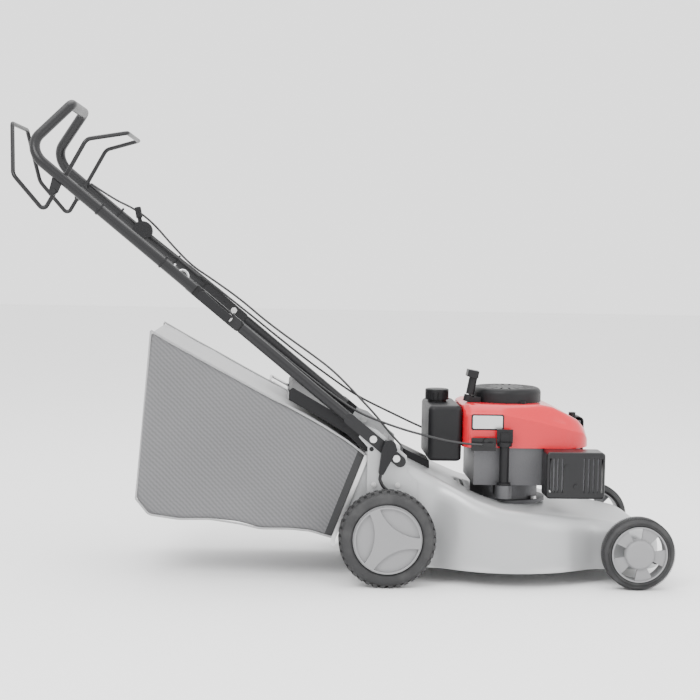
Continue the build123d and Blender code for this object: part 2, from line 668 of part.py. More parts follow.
def make_exhaust():
    box = block(GUARD_X[0] + 9, GUARD_X[1] - 9, GUARD_Y[0] + 8, GUARD_Y[1] - 4, GUARD_Z[0] + 9, GUARD_Z[1] - 9)
    box = fillet(box.edges().filter_by(Axis.Y), 14)
    pipe = rod_y(11, 384, 226, GUARD_Y[1] - 5, -70)
    add("muffler", box + pipe)

    guard = block(*GUARD_X, *GUARD_Y, *GUARD_Z)
    guard = fillet(guard.edges().filter_by(Axis.Y), 8)
    guard = fillet(guard.edges().group_by(Axis.Y)[0], 5)
    wall = 2.0
    hollow = block(GUARD_X[0] + wall, GUARD_X[1] - wall, GUARD_Y[0] + wall, GUARD_Y[1] + 5,
                   GUARD_Z[0] + wall, GUARD_Z[1] - wall)
    hollow = fillet(hollow.edges().filter_by(Axis.Y), 6)
    guard = guard - hollow
    for x in (346, 354, 362, 372, 418, 428, 438, 448, 456):
        guard = guard - block(x - 1.8, x + 1.8, GUARD_Y[0] - 5, GUARD_Y[0] + 8, 192, 264)
    for x, z in [(381, 246), (401, 205)]:
        guard = guard + rod_y(5, x, z, GUARD_Y[0] - 2.4, GUARD_Y[0] + 7.5)
    add("muffler_guard", guard)


def make_intake():
    body = block(352, 392, 71, 108, 214, 262) + rod_y(17, 372, 240, 71, FILTER_Y[0])
    body = body + block(FILTER_X[0] - 24, FILTER_X[1] - 8, FILTER_Y[0] - 2, FILTER_Y[0] + 3, 232, 314)
    body = body - rod_y(11, 372, 240, 76, FILTER_Y[0] + 10)
    add("carburettor", body)
    case = block(*FILTER_X, FILTER_Y[0] + 3 + SKIN_GAP, FILTER_Y[1], *FILTER_Z)
    case = fillet(case.edges().filter_by(Axis.Y), 12)
    case = fillet(case.edges().group_by(Axis.Y)[-1], 6)
    hollow = block(FILTER_X[0] + 3, FILTER_X[1] - 3, FILTER_Y[0], FILTER_Y[1] - 3, FILTER_Z[0] + 3, FILTER_Z[1] - 3)
    case = case - fillet(hollow.edges().filter_by(Axis.Y), 9)
    case = case + rod_z(8, 446, 128, FILTER_Z[1] - 4, FILTER_Z[1] + 9)
    add("air_filter_cover", case)

    plug = rod_x(9, 0, 234, 448, 475) + rod_x(11, 0, 234, 428, 450)
    plug = fillet(plug.edges().sort_by(Axis.X)[-1], 3)
    plug = plug - rod_x(5.6, 0, 234, 425, 462)
    add("plug_boot", plug)

    bracket = block(183, 236, -126, -123, 272, 300) + block(183, 236, -123, -111, 272, 275)
    bracket = bracket + rod_y(5, 214, 294, -131, -123) + block(206, 230, -135, -126, 283, 290)
    bracket = bracket & block(180, 250, -140, -SHROUD_HALF_W - 0.2, 270, 302)
    add("control_plate", bracket - end_bore(BRAKE_CABLE))


def make_transmission_cover():
    slope = 219 - 254
    run = 107 - 35
    def top(x, lift):
        return 254 + (x - 35) * slope / run + lift
    points = [(44, top(44, 0)), (44, top(44, 16)), (102, top(102, 17)), (102, top(102, 0))]
    cover = side_plate(points, -46, 46)
    cover = fillet(cover.edges().filter_by(Axis.Z), 5)
    hollow = side_plate([(47, top(47, -2)), (47, top(47, 12)), (99, top(99, 13)), (99, top(99, -2))], -43, 43)
    add("transmission_cover", cover - hollow - end_bore(DRIVE_CABLE))


# ---------------------------------------------------------------- bag and flap
def bag_outline():
    return [
        (-46, 266), (-85, 297), (-138, 330), (-211, 370), (-240, 383), (-368, 452), (-432, 486), (-492, 524),
        (-508, 518), (-512, 489), (-513, 310), (-520, 226), (-522, 184), (-529, 172), (-515, 148), (-495, 135),
        (-432, 127), (-369, 128), (-306, 119), (-263, 109), (-200, 109), (-158, 104), (-113, 90),
    ]


def bag_form(inset):
    points = [(x, 0, z) for x, z in bag_outline()]
    face = make_face(Polyline(*points, close=True))
    if inset > 0:
        face = offset(face, amount=-inset, kind=Kind.INTERSECTION)
    half = BAG_HALF_W - inset
    mouth = MOUTH_HALF_W - inset
    body = Pos(0, -half, 0) * extrude(face, amount=2 * half, dir=(0, 1, 0))
    plan = make_face(Polyline(
        (-560, -half), (-150, -half), (-50, -mouth), (-30, -mouth), (-30, mouth), (-50, mouth), (-150, half),
        (-560, half), close=True))
    return body & extrude(plan, amount=700)


def mouth_plane_box(depth0, depth1, half_w, end_gap):
    """A slab on the bag's slanted mouth, from depth0 to depth1 in front of the mouth line."""
    dx, dz = MOUTH_TOP[0] - MOUTH_FOOT[0], MOUTH_TOP[1] - MOUTH_FOOT[1]
    length = hypot(dx, dz)
    ux, uz = dx / length, dz / length
    nx, nz = uz, -ux
    lo = (MOUTH_FOOT[0] + ux * end_gap, MOUTH_FOOT[1] + uz * end_gap)
    hi = (MOUTH_TOP[0] - ux * end_gap, MOUTH_TOP[1] - uz * end_gap)
    points = [
        (lo[0] + nx * depth0, lo[1] + nz * depth0), (hi[0] + nx * depth0, hi[1] + nz * depth0),
        (hi[0] + nx * depth1, hi[1] + nz * depth1), (lo[0] + nx * depth1, lo[1] + nz * depth1),
    ]
    return side_plate(points, -half_w, half_w)


def make_bag():
    fabric = bag_form(0) - bag_form(BAG_T) - mouth_plane_box(-14, 20, MOUTH_HALF_W - BAG_T - 1, BAG_T + 2)
    fabric = fabric - mouth_plane_box(-0.2, 40, 300, -60)
    add("bag_fabric", fabric.solids().sort_by(SortBy.VOLUME)[-1])

    outer = mouth_plane_box(0, 9, MOUTH_HALF_W, 0)
    frame = outer - mouth_plane_box(-1, 12, MOUTH_HALF_W - 9, 9)
    hooks = []
    for y in (-120, 120):
        hooks.append(block(-112, -104, y - 12, y + 12, 66, 96))
    for hook in hooks:
        frame = frame + hook
    wire = swept(
        [(-208, -62, 366), (-206, -62, 389), (-246, -56, 411), (-246, 56, 411), (-206, 62, 389), (-208, 62, 366)],
        [8, 8, 8, 8], 3.0)
    add("bag_frame", frame, wire)


def flap_outline():
    return [(-36, 287), (-58, 311), (-115, 357), (-199, 405), (-206, 399), (-207, 379), (-138, 341), (-85, 309),
            (-44, 272), (-30, 275)]


def make_flap():
    outer = side_plate(flap_outline(), -FLAP_HALF_W, FLAP_HALF_W)
    scoop = side_plate([(-44, 289), (-62, 307), (-117, 352), (-203, 401), (-230, 380), (-138, 326), (-60, 262)],
                       -FLAP_HALF_W + FLAP_T, FLAP_HALF_W - FLAP_T)
    flap = outer - scoop
    flap = flap + rod_y(7.5, *FLAP_HINGE, -FLAP_HALF_W, FLAP_HALF_W)
    flap = flap + rod_y(5.0 - RUN_GAP, *FLAP_HINGE, -BRACKET_Y, BRACKET_Y)
    add("rear_flap", flap)


# ---------------------------------------------------------------- handle
def make_upper_handle():
    bx, bz = BEND
    cx, cz = CROSSBAR
    start_x = LOWER_END_X - 12
    points = [
        (start_x, -UPPER_Y, handle_z(start_x)), (bx, -UPPER_Y, handle_z(bx)), (cx, -CROSSBAR_HALF_W, cz),
        (cx, CROSSBAR_HALF_W, cz), (bx, UPPER_Y, handle_z(bx)), (start_x, UPPER_Y, handle_z(start_x)),
    ]
    loop = swept(points, [BEND_R, CROSSBAR_R, CROSSBAR_R, BEND_R], TUBE_R, TUBE_R - TUBE_WALL)
    for s in (1, -1):
        ends = sorted((s * (JOINT_Y + 0.2), s * (JOINT_Y + 0.2 + BAR_T)))
        loop = loop + bar(UPPER_END_X - 8, LOWER_END_X - 22, *ends)
        loop = loop - rod_y(JOINT_BOLT_R, JOINT_X, handle_z(JOINT_X), s * 150, s * 250)
        loop = loop - rod_y(WIRE_R + RUN_GAP, *BRAKE_PIVOT, s * 176, s * 185)
    add("upper_handle", loop)


def make_joint_hardware():
    z = handle_z(JOINT_X)

    nx, nz = sin(HANDLE_SLOPE), cos(HANDLE_SLOPE)

    def cross_pin(r, half):
        """A rod on the lever's hinge line, square to the tube."""
        a = (JOINT_X - nx * half, CAM_Y, z - nz * half)
        b = (JOINT_X + nx * half, CAM_Y, z + nz * half)
        return rod_between(r, a, b)

    def bolt():
        shank = rod_y(JOINT_BOLT_R, JOINT_X, z, JOINT_Y - 14, CAM_Y) + cross_pin(CAM_PIN_R, CAM_HALF - 0.5)
        nut = Pos(JOINT_X, JOINT_Y - 6.2, z) * Rot(90, 0, 0) * extrude(RegularPolygon(7.5, 6), amount=6.5)
        washer = rod_y(9, JOINT_X, z, JOINT_Y + 0.2 + BAR_T, JOINT_Y + 7)
        return shank + nut + washer

    left = bolt()
    add("joint_bolts", flip(left), left)

    def lever():
        """A cam lever that lies along the tube and swings outward to release the joint."""
        u = (-cos(HANDLE_SLOPE), sin(HANDLE_SLOPE))
        n = (sin(HANDLE_SLOPE), cos(HANDLE_SLOPE))
        def at(along, across):
            return (JOINT_X + u[0] * along + n[0] * across, z + u[1] * along + n[1] * across)
        w = CAM_HALF
        inner, outer = CAM_Y - CAM_R, CAM_Y + CAM_R
        outline = [at(0, -w), at(0, w), at(20, w), at(48, w + 1), at(70, w + 3), at(78, 6), at(80, 0), at(78, -6),
                   at(70, -w - 3), at(48, -w - 1), at(20, -w)]
        shape = side_plate(outline, inner, outer)
        shape = shape - side_plate([at(14, -20), at(14, 20), at(100, 20), at(100, -20)], inner - 2, inner + 3)
        shape = fillet(shape.edges().filter_by(Axis.Y).sort_by(Axis.X)[:4], 2)
        shape = shape + cross_pin(CAM_R, w)
        slot = JOINT_BOLT_R + 0.5
        fork = [at(-CAM_R - 2, -slot), at(-CAM_R - 2, slot), at(slot + 0.7, slot), at(slot + 0.7, -slot)]
        shape = shape - side_plate(fork, inner - 2, CAM_Y + slot)
        return shape - cross_pin(CAM_PIN_R + RUN_GAP, w + 2)

    for side, shape in sided(lever).items():
        add("quick_release_" + side, shape)


def make_bails():
    px, pz = DRIVE_PIVOT
    points = [(px, -194, pz), (px, -BAIL_Y, pz), (DRIVE_CORNER[0], -BAIL_Y, DRIVE_CORNER[1]),
              (DRIVE_BEND[0], -BAIL_Y, DRIVE_BEND[1]), (DRIVE_TOP[0], -DRIVE_HALF_W, DRIVE_TOP[1])]
    points += [(x, -y, z) for x, y, z in reversed(points)]
    radii = [7, 9, 22, 14]
    add("drive_bail", swept(points, radii + radii[::-1], WIRE_R))

    qx, qz = BRAKE_PIVOT
    points = [(qx, -187, qz), (qx, -BAIL_Y, qz), (BRAKE_BEND[0], -BAIL_Y, BRAKE_BEND[1]),
              (BRAKE_TOP[0], -BRAKE_HALF_W, BRAKE_TOP[1])]
    points += [(x, -y, z) for x, y, z in reversed(points)]
    radii = [7, 18, 14]
    add("brake_bail", swept(points, radii + radii[::-1], WIRE_R))

    def lug():
        plate = side_plate([(-702, 796), (-694, 794), (-684, 800), (-674, 824), (-694, 838), (-702, 806)], 186, 190)
        a, b = (-740, UPPER_Y, handle_z(-740)), (-640, UPPER_Y, handle_z(-640))
        plate = plate - rod_between(TUBE_R + RUN_GAP, a, b)
        return plate - rod_y(WIRE_R + RUN_GAP, px, pz, 150, 220)

    left = lug()
    add("bail_mounts", flip(left), left)


def make_throttle():
    x = THROTTLE_X
    z = handle_z(x) + 6
    y0, y1 = 158.0, UPPER_Y - TUBE_R - 0.2
    body = rod_y(23, x, z, y0, y1) & block(x - 40, x + 40, 100, 200, z - 14, z + 40)
    a = (x - 9, UPPER_Y, handle_z(x - 9))
    b = (x + 9, UPPER_Y, handle_z(x + 9))
    clamp = rod_between(TUBE_R + 4, a, b) - rod_between(TUBE_R + 0.1, (x - 30, UPPER_Y, handle_z(x - 30)),
                                                       (x + 30, UPPER_Y, handle_z(x + 30)))
    body = body + clamp
    slot0 = y0 + 5
    body = body - block(x - 50, x + 50, slot0, slot0 + 4, z - 10, z + 60)
    body = body + rod_y(3, x, z, slot0 - 1, slot0 + 5)
    add("throttle_housing", body)
    y2 = slot0 + SKIN_GAP
    lever = rod_y(9, x, z, y2, y2 + 3.2)
    lever = lever + side_plate([(x - 6, z), (x + 6, z), (x - 3, z + 32), (x - 12, z + 32)], y2, y2 + 3.2)
    knob = Box(14, 12, 26)
    knob = Pos(x - 9, y2 + 1.6, z + 42) * Rot(0, -10, 0) * fillet(knob.edges(), 3)
    lever = (lever + knob) - rod_y(3 + RUN_GAP, x, z, 100, 200)
    add("throttle_lever", lever)


def make_rope_guide():
    x, y, z = -431.0, -170.0, 634.0
    ring = Pos(x, y, z) * Rot(90, 0, 0) * Torus(12.5, 2.2)
    stem = swept([(x - 10, y, z + 8), (x - 16, y, z + 20), (x - 14, y - 12, z + 24)], [5], 2.2)
    add("rope_guide", ring + stem)


# ---------------------------------------------------------------- control cables
DRIVE_CABLE = [
    (-664, 180, 834), (-610, 176, 799), (-575, 175.5, 784), (-545, 175.5, 766), (-515, 175.5, 740),
    (-480, 175.5, 700), (-433, 174, 652), (-392, 171, 626), (-321, 164, 578), (-263, 154, 530), (-205, 140, 489), (-150, 126, 452), (-104, 104, 419), (-54, 80, 370),
    (-8, 56, 323), (24, 36, 284), (50, 20, 258),
]
THROTTLE_CABLE = [
    (-524, 168, 718), (-470, 168, 676), (-420, 166, 638), (-368, 166, 597), (-291, 172, 537), (-233, 172, 491),
    (-165, 169, 439), (-112, 165, 402), (-50, 158, 359), (30, 150, 322), (96, 140, 292), (160, 128, 268),
    (216, 112, 252), (262, 98, 246),
]
BRAKE_CABLE = [
    (-640, -164, 812), (-560, -164, 744), (-490, -164, 690), (-410, -163, 623), (-340, -160, 566),
    (-262, -161, 504), (-180, -166, 440), (-105, -170, 384), (-60, -168, 355), (-10, -162, 335),
    (36, -155, 319), (88, -150, 305), (140, -145, 293), (190, -139, 287), (209, -131.5, 286.5),
]


def make_cables():
    routes = {"drive_cable": DRIVE_CABLE, "throttle_cable": THROTTLE_CABLE, "brake_cable": BRAKE_CABLE}
    for name, points in routes.items():
        radii = turn_radii(points)
        print(name, "smallest bend radius", round(min(radii)), "largest", round(max(radii)))
        add(name, swept(points, radii, CABLE_R))


# ---------------------------------------------------------------- build
def build_all():
    make_deck()
    make_side_plates()
    make_lower_handle()
    make_handle_bolts()
    make_rear_axle()
    make_height_lever()
    make_front_axle()
    make_rear_wheels()
    make_front_wheels()
    make_engine_core()
    make_shroud()
    make_crank()
    make_fuel()
    make_oil_filler()
    make_exhaust()
    make_intake()
    make_transmission_cover()
    make_bag()
    make_flap()
    make_upper_handle()
    make_joint_hardware()
    make_bails()
    make_throttle()
    make_rope_guide()
    make_cables()


def export_all():
    """Move the mower so that its origin is under the middle of its box, and write every node."""
    os.makedirs("parts", exist_ok=True)
    boxes = [shape.bounding_box() for shape in parts.values()]
    mid_x = (min(b.min.X for b in boxes) + max(b.max.X for b in boxes)) / 2
    mid_y = (min(b.min.Y for b in boxes) + max(b.max.Y for b in boxes)) / 2
    low_z = min(b.min.Z for b in boxes)
    print("origin moved by", round(-mid_x, 3), round(-mid_y, 3), round(-low_z, 3))
    for name, shape in parts.items():
        export_step(Pos(-mid_x, -mid_y, -low_z) * shape, "parts/" + name + ".step")


build_all()
export_all()
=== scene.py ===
"""Looks of the walk-behind mower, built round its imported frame."""
import json
import math

import bmesh
import bpy
from mathutils import Matrix, Vector, noise


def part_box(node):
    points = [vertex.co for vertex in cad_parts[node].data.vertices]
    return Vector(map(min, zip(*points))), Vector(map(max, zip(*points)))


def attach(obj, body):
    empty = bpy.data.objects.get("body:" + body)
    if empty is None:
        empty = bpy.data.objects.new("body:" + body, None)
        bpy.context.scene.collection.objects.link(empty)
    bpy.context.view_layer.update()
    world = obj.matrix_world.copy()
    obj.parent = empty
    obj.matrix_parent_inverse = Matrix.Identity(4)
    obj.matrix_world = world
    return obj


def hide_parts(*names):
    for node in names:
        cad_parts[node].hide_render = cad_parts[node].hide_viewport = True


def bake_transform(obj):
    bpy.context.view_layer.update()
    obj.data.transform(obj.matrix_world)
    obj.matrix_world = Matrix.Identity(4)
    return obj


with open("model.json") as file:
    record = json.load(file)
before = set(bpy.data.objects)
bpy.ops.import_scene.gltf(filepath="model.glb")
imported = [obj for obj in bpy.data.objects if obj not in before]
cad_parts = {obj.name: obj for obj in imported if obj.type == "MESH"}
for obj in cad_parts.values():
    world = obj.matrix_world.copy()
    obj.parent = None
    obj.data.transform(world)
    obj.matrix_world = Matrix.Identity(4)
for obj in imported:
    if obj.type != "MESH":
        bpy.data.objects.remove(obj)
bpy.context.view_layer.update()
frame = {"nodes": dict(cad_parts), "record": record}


def middle(node):
    low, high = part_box(node)
    return (low + high) / 2


AXLE_X = middle("tyre_rear_right").x  # the rear wheels' centre, which every length below is taken from


def at(x, y, z):
    """A point given in metres from the rear wheels' centre, the middle line and the ground."""
    return Vector((AXLE_X + x, y, z))


# ---------------------------------------------------------------- camera, lights, floor
LENS_MM = 77.97
SENSOR_MM = 36.0
EYE = at(-0.2184, -3.3186, 0.6968)
YAW, PITCH, ROLL = 0.0436, 0.0667, 0.0182


def make_camera():
    """The view from the mower's right side, a little turned, tipped and rolled."""
    ahead = Vector((math.sin(YAW) * math.cos(PITCH), math.cos(YAW) * math.cos(PITCH), -math.sin(PITCH)))
    level = Vector((math.cos(YAW), -math.sin(YAW), 0))
    upright = level.cross(ahead)
    right = math.cos(ROLL) * level + math.sin(ROLL) * upright
    up = -math.sin(ROLL) * level + math.cos(ROLL) * upright
    data = bpy.data.cameras.new("camera")
    data.lens = LENS_MM
    data.sensor_width = SENSOR_MM
    data.clip_start = 0.05
    data.clip_end = 60
    camera = bpy.data.objects.new("camera", data)
    bpy.context.scene.collection.objects.link(camera)
    turn = Matrix((right, up, -ahead)).transposed().to_4x4()
    camera.matrix_world = Matrix.Translation(EYE) @ turn
    bpy.context.scene.camera = camera


def make_light(name, place, size, power):
    data = bpy.data.lights.new(name, "AREA")
    data.shape = "DISK"
    data.size = size
    data.energy = power
    lamp = bpy.data.objects.new(name, data)
    bpy.context.scene.collection.objects.link(lamp)
    lamp.location = place
    lamp.rotation_mode = "QUATERNION"
    lamp.rotation_quaternion = (Vector((0, 0, 0.35)) - place).to_track_quat("-Z", "Y")


def make_studio():
    make_light("key_light", Vector((-1.6, -3.0, 3.2)), 2.0, 130)
    make_light("fill_light", Vector((2.8, -2.4, 1.8)), 2.6, 45)
    make_light("top_light", Vector((0.0, 0.6, 3.6)), 3.0, 70)
    world = bpy.data.worlds.new("studio")
    bpy.context.scene.world = world
    world.use_nodes = True
    world.node_tree.nodes["Background"].inputs["Color"].default_value = (1, 1, 1, 1)
    world.node_tree.nodes["Background"].inputs["Strength"].default_value = 2.0


# ---------------------------------------------------------------- finishes
class Wire:
    """A socket's value in a finish, on which sums are written as Python sums."""

    def __init__(self, finish, socket):
        self.finish = finish
        self.socket = socket

    def _sum(self, operation, a, b):
        return self.finish.node("ShaderNodeMath", {"operation": operation}, {0: a, 1: b})

    def __add__(self, other):
        return self._sum("ADD", self, other)

    def __mul__(self, other):
        return self._sum("MULTIPLY", self, other)

    __radd__ = __add__
    __rmul__ = __mul__


class Finish:
    """A material's nodes."""

    def __init__(self, name, **constants):
        self.material = bpy.data.materials.new(name)
        self.material.use_nodes = True
        self.tree = self.material.node_tree
        self.surface = self.tree.nodes["Principled BSDF"]
        for socket, value in constants.items():
            self.surface.inputs[socket.replace("_", " ")].default_value = value

    def node(self, kind, settings=None, values=None, output=0):
        made = self.tree.nodes.new(kind)
        for name, value in (settings or {}).items():
            if name == "stops":
                low, high = made.color_ramp.elements
                low.position, high.position = value
            else:
                setattr(made, name, value)
        for socket, value in (values or {}).items():
            if isinstance(value, Wire):
                self.tree.links.new(value.socket, made.inputs[socket])
            else:
                made.inputs[socket].default_value = value
        return Wire(self, made.outputs[output])

    def feed(self, socket, wire):
        self.tree.links.new(wire.socket, self.surface.inputs[socket])

    def place(self, stretch=(1, 1, 1)):
        raw = self.node("ShaderNodeTexCoord", output=3)
        return self.node("ShaderNodeMapping", {}, {"Vector": raw, "Scale": stretch})

    def speckle(self, scale, detail=3.0, stretch=(1, 1, 1)):
        return self.node("ShaderNodeTexNoise", {}, {
            "Vector": self.place(stretch), "Scale": scale, "Detail": detail})

    def between(self, amount, first, second):
        colours = {0: amount, 6: (*first, 1), 7: (*second, 1)}
        return self.node("ShaderNodeMix", {"data_type": "RGBA"}, colours, 2)

    def bump(self, height, distance, strength=0.5):
        self.feed("Normal", self.node("ShaderNodeBump", {}, {
            "Height": height, "Distance": distance, "Strength": strength}))


def shade(colour, share):
    return tuple(min(1.0, channel * share) for channel in colour)


def coated(name, colour, rough, grain=700, depth=0.0002, cloud=9, spread=0.18, stretch=(1, 1, 1),
           **constants):
    """A finish with a fine grain, slow changes of tone and changes of gloss."""
    finish = Finish(name, **constants)
    cloudy = finish.speckle(cloud, 4)
    fine = finish.speckle(grain, 2, stretch)
    tone = cloudy * 0.65 + fine * 0.35
    finish.feed("Base Color", finish.between(tone, shade(colour, 1 - spread), shade(colour, 1 + spread)))
    finish.feed("Roughness", cloudy * 0.16 + fine * 0.06 + (rough - 0.11))
    finish.bump(fine, depth)
    return finish.material


def make_rubber():
    """Tyre rubber: dull, with dust lying in its low places."""
    finish = Finish("tyre_rubber_finish", Specular_IOR_Level=0.35)
    dust = finish.speckle(28, 6)
    grain = finish.speckle(520, 3)
    spots = finish.node("ShaderNodeValToRGB", {"stops": (0.42, 0.74)}, {"Fac": dust})
    dusty = spots * 0.55 + grain * 0.2
    finish.feed("Base Color", finish.between(dusty, (0.02, 0.02, 0.021), (0.06, 0.06, 0.06)))
    finish.feed("Roughness", dust * 0.2 + 0.56)
    finish.bump(grain, 0.0005)
    return finish.material


def make_mesh_cloth(name, light, dark, pitch, depth):
    """Woven cloth whose threads follow the piece's own sewing map."""
    finish = Finish(name, Sheen_Weight=0.25, Sheen_Roughness=0.6)
    flat = finish.node("ShaderNodeTexCoord", output=2)
    drift = finish.node("ShaderNodeTexNoise", {}, {"Vector": flat, "Scale": 5.0, "Detail": 3.0})
    warp = finish.node("ShaderNodeTexWave", {"bands_direction": "X"}, {
        "Vector": flat, "Scale": pitch, "Distortion": 1.2, "Detail": 1.0, "Detail Scale": 0.6}, 1)
    weft = finish.node("ShaderNodeTexWave", {"bands_direction": "Y"}, {
        "Vector": flat, "Scale": pitch, "Distortion": 1.2, "Detail": 1.0, "Detail Scale": 0.6}, 1)
    diagonal = finish.node("ShaderNodeTexWave", {"bands_direction": "DIAGONAL"}, {
        "Vector": flat, "Scale": pitch * 0.55, "Distortion": 2.2, "Detail": 1.5, "Detail Scale": 0.5}, 1)
    threads = warp * 0.3 + weft * 0.3 + diagonal * 0.4
    finish.feed("Base Color", finish.between(threads * 0.75 + drift * 0.25, dark, light))
    finish.feed("Roughness", threads * 0.12 + 0.74)
    finish.bump(threads, depth, 0.7)
    return finish.material


FINISHES = {
    "silver_steel": coated("silver_steel_finish", (0.37, 0.375, 0.38), 0.36, 900, 0.0001, 5, 0.07,
                           Metallic=0.35, Coat_Roughness=0.2),
    "black_steel": coated("black_steel_finish", (0.006, 0.006, 0.007), 0.34, 620, 0.00025, 14, 0.35,
                          Specular_IOR_Level=0.35),
    "red_cowl": coated("red_cowl_finish", (0.56, 0.008, 0.02), 0.2, 420, 0.00006, 7, 0.1,
                       Coat_Roughness=0.06),
    "black_plastic": coated("black_plastic_finish", (0.007, 0.007, 0.008), 0.46, 1100, 0.0003, 12, 0.3,
                            Specular_IOR_Level=0.25),
    "grey_plastic": coated("grey_plastic_finish", (0.20, 0.20, 0.205), 0.42, 1000, 0.0002, 10, 0.06),
    "tyre_rubber": make_rubber(),
    "cast_aluminium": coated("cast_aluminium_finish", (0.11, 0.11, 0.115), 0.5, 330, 0.0007, 18, 0.22,
                             Metallic=0.85),
    "plated_steel": coated("plated_steel_finish", (0.6, 0.6, 0.6), 0.3, 500, 0.0001, 30, 0.14, (1, 1, 9),
                           Metallic=1.0),
    "forged_steel": coated("forged_steel_finish", (0.2, 0.2, 0.21), 0.42, 380, 0.0003, 20, 0.25,
                           Metallic=0.9),
    "bag_mesh": make_mesh_cloth("bag_mesh_finish", (0.17, 0.17, 0.175), (0.05, 0.05, 0.053), 105, 0.0008),
    "cable_jacket": coated("cable_jacket_finish", (0.014, 0.014, 0.015), 0.4, 800, 0.0001, 25, 0.3),
    "chrome_wire": coated("chrome_wire_finish", (0.72, 0.72, 0.73), 0.16, 600, 0.00005, 30, 0.08,
                          Metallic=1.0),
}
TOP_CLOTH = make_mesh_cloth("bag_top_finish", (0.33, 0.33, 0.335), (0.26, 0.26, 0.265), 130, 0.0003)
EDGE_CLOTH = make_mesh_cloth("bag_edge_finish", (0.022, 0.022, 0.023), (0.008, 0.008, 0.009), 160, 0.0003)
FLOOR_FINISH = coated("floor_finish", (0.9, 0.9, 0.9), 0.7, 40, 0.0001, 0.6, 0.012)


def finish_cad_nodes():
    chosen = {part["node"]: part["material_slot"] for part in frame["record"]["subparts"]}
    for name, node in frame["nodes"].items():
        if not node.material_slots:
            node.data.materials.append(FINISHES[chosen[name]])
        for held in node.material_slots:
            held.material = FINISHES[chosen[name]]


# ---------------------------------------------------------------- making pieces
def keep(name, mesh, body, slot, material=None):
    """A finished mesh as a named piece that rides on a body."""
    piece = bpy.data.objects.new(name, mesh)
    bpy.context.scene.collection.objects.link(piece)
    if not mesh.materials:
        mesh.materials.append(material or FINISHES[slot])
    if body:
        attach(piece, body)
    return piece


def smooth(mesh):
    mesh.polygons.foreach_set("use_smooth", [True] * len(mesh.polygons))


def lathe(name, section, centre, steps=120):
    """A closed section of (radius, y) points turned about the wheel's axle."""
    mesh = bpy.data.meshes.new(name)
    work = bmesh.new()
    rings = []
    for k in range(steps):
        angle = 2 * math.pi * k / steps
        rings.append([
            work.verts.new(centre + Vector((r * math.cos(angle), y, r * math.sin(angle)))) for r, y in section])
    for k in range(steps):
        one, two = rings[k], rings[(k + 1) % steps]
        for i in range(len(section)):
            j = (i + 1) % len(section)
            work.faces.new((one[i], one[j], two[j], two[i]))
    bmesh.ops.recalc_face_normals(work, faces=work.faces)
    work.to_mesh(mesh)
    work.free()
    smooth(mesh)
    return mesh


def curve_mesh(name, points, radius):
    """A round cord along its points, as a plain mesh."""
    data = bpy.data.curves.new(name, "CURVE")
    data.dimensions = "3D"
    data.bevel_depth = radius
    data.bevel_resolution = 3
    data.resolution_u = 8
    data.use_fill_caps = True
    spline = data.splines.new("NURBS")
    spline.points.add(len(points) - 1)
    for point, place in zip(spline.points, points):
        point.co = (*place, 1)
    spline.order_u = 3
    spline.use_endpoint_u = True
    source = bpy.data.objects.new(name + "_route", data)
    bpy.context.scene.collection.objects.link(source)
    bpy.context.view_layer.update()
    graph = bpy.context.evaluated_depsgraph_get()
    mesh = bpy.data.meshes.new_from_object(source.evaluated_get(graph))
    bpy.data.objects.remove(source)
    smooth(mesh)
    return mesh


# ---------------------------------------------------------------- control cables
CABLE_R = 0.0025
DRIVE_CABLE = [
    (-0.664, 0.180, 0.834), (-0.610, 0.176, 0.799), (-0.575, 0.1755, 0.784), (-0.545, 0.1755, 0.766),
    (-0.515, 0.1755, 0.740), (-0.480, 0.1755, 0.700), (-0.433, 0.174, 0.652), (-0.392, 0.171, 0.626),
    (-0.321, 0.164, 0.578), (-0.263, 0.154, 0.530), (-0.205, 0.140, 0.489), (-0.150, 0.126, 0.452),
    (-0.104, 0.104, 0.419), (-0.054, 0.080, 0.370), (-0.008, 0.056, 0.323), (0.024, 0.036, 0.284),
    (0.050, 0.020, 0.258),
]
THROTTLE_CABLE = [
    (-0.524, 0.168, 0.718), (-0.470, 0.168, 0.676), (-0.420, 0.166, 0.638), (-0.368, 0.166, 0.597),
    (-0.291, 0.172, 0.537), (-0.233, 0.172, 0.491), (-0.165, 0.169, 0.439), (-0.112, 0.165, 0.402),
    (-0.050, 0.158, 0.359), (0.030, 0.150, 0.322), (0.096, 0.140, 0.292), (0.160, 0.128, 0.268),
    (0.216, 0.112, 0.252), (0.262, 0.098, 0.246),
]
BRAKE_CABLE = [
    (-0.640, -0.164, 0.812), (-0.560, -0.164, 0.744), (-0.490, -0.164, 0.690), (-0.410, -0.163, 0.623),
    (-0.340, -0.160, 0.566), (-0.262, -0.161, 0.504), (-0.180, -0.166, 0.440), (-0.105, -0.170, 0.384),
    (-0.060, -0.168, 0.355), (-0.010, -0.162, 0.335), (0.036, -0.155, 0.319), (0.088, -0.150, 0.305),
    (0.140, -0.145, 0.293), (0.190, -0.139, 0.287), (0.209, -0.1315, 0.2865),
]


def make_cables():
    """The three control cables, each a round cord along its points."""
    routes = {"drive_cable": DRIVE_CABLE, "throttle_cable": THROTTLE_CABLE, "brake_cable": BRAKE_CABLE}
    for node, points in routes.items():
        mesh = curve_mesh(node + "_jacket", [at(*point) for point in points], CABLE_R)
        cable = keep(node + "_jacket", mesh, None, "cable_jacket")
        at(-0.24, 0, 0.48)
        at(-0.43, 0, 0.63)
        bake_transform(cable)
        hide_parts(node)


# ---------------------------------------------------------------- tyres
def socket_of(tree, name):
    return next(item.identifier for item in tree.interface.items_tree if item.name == name)


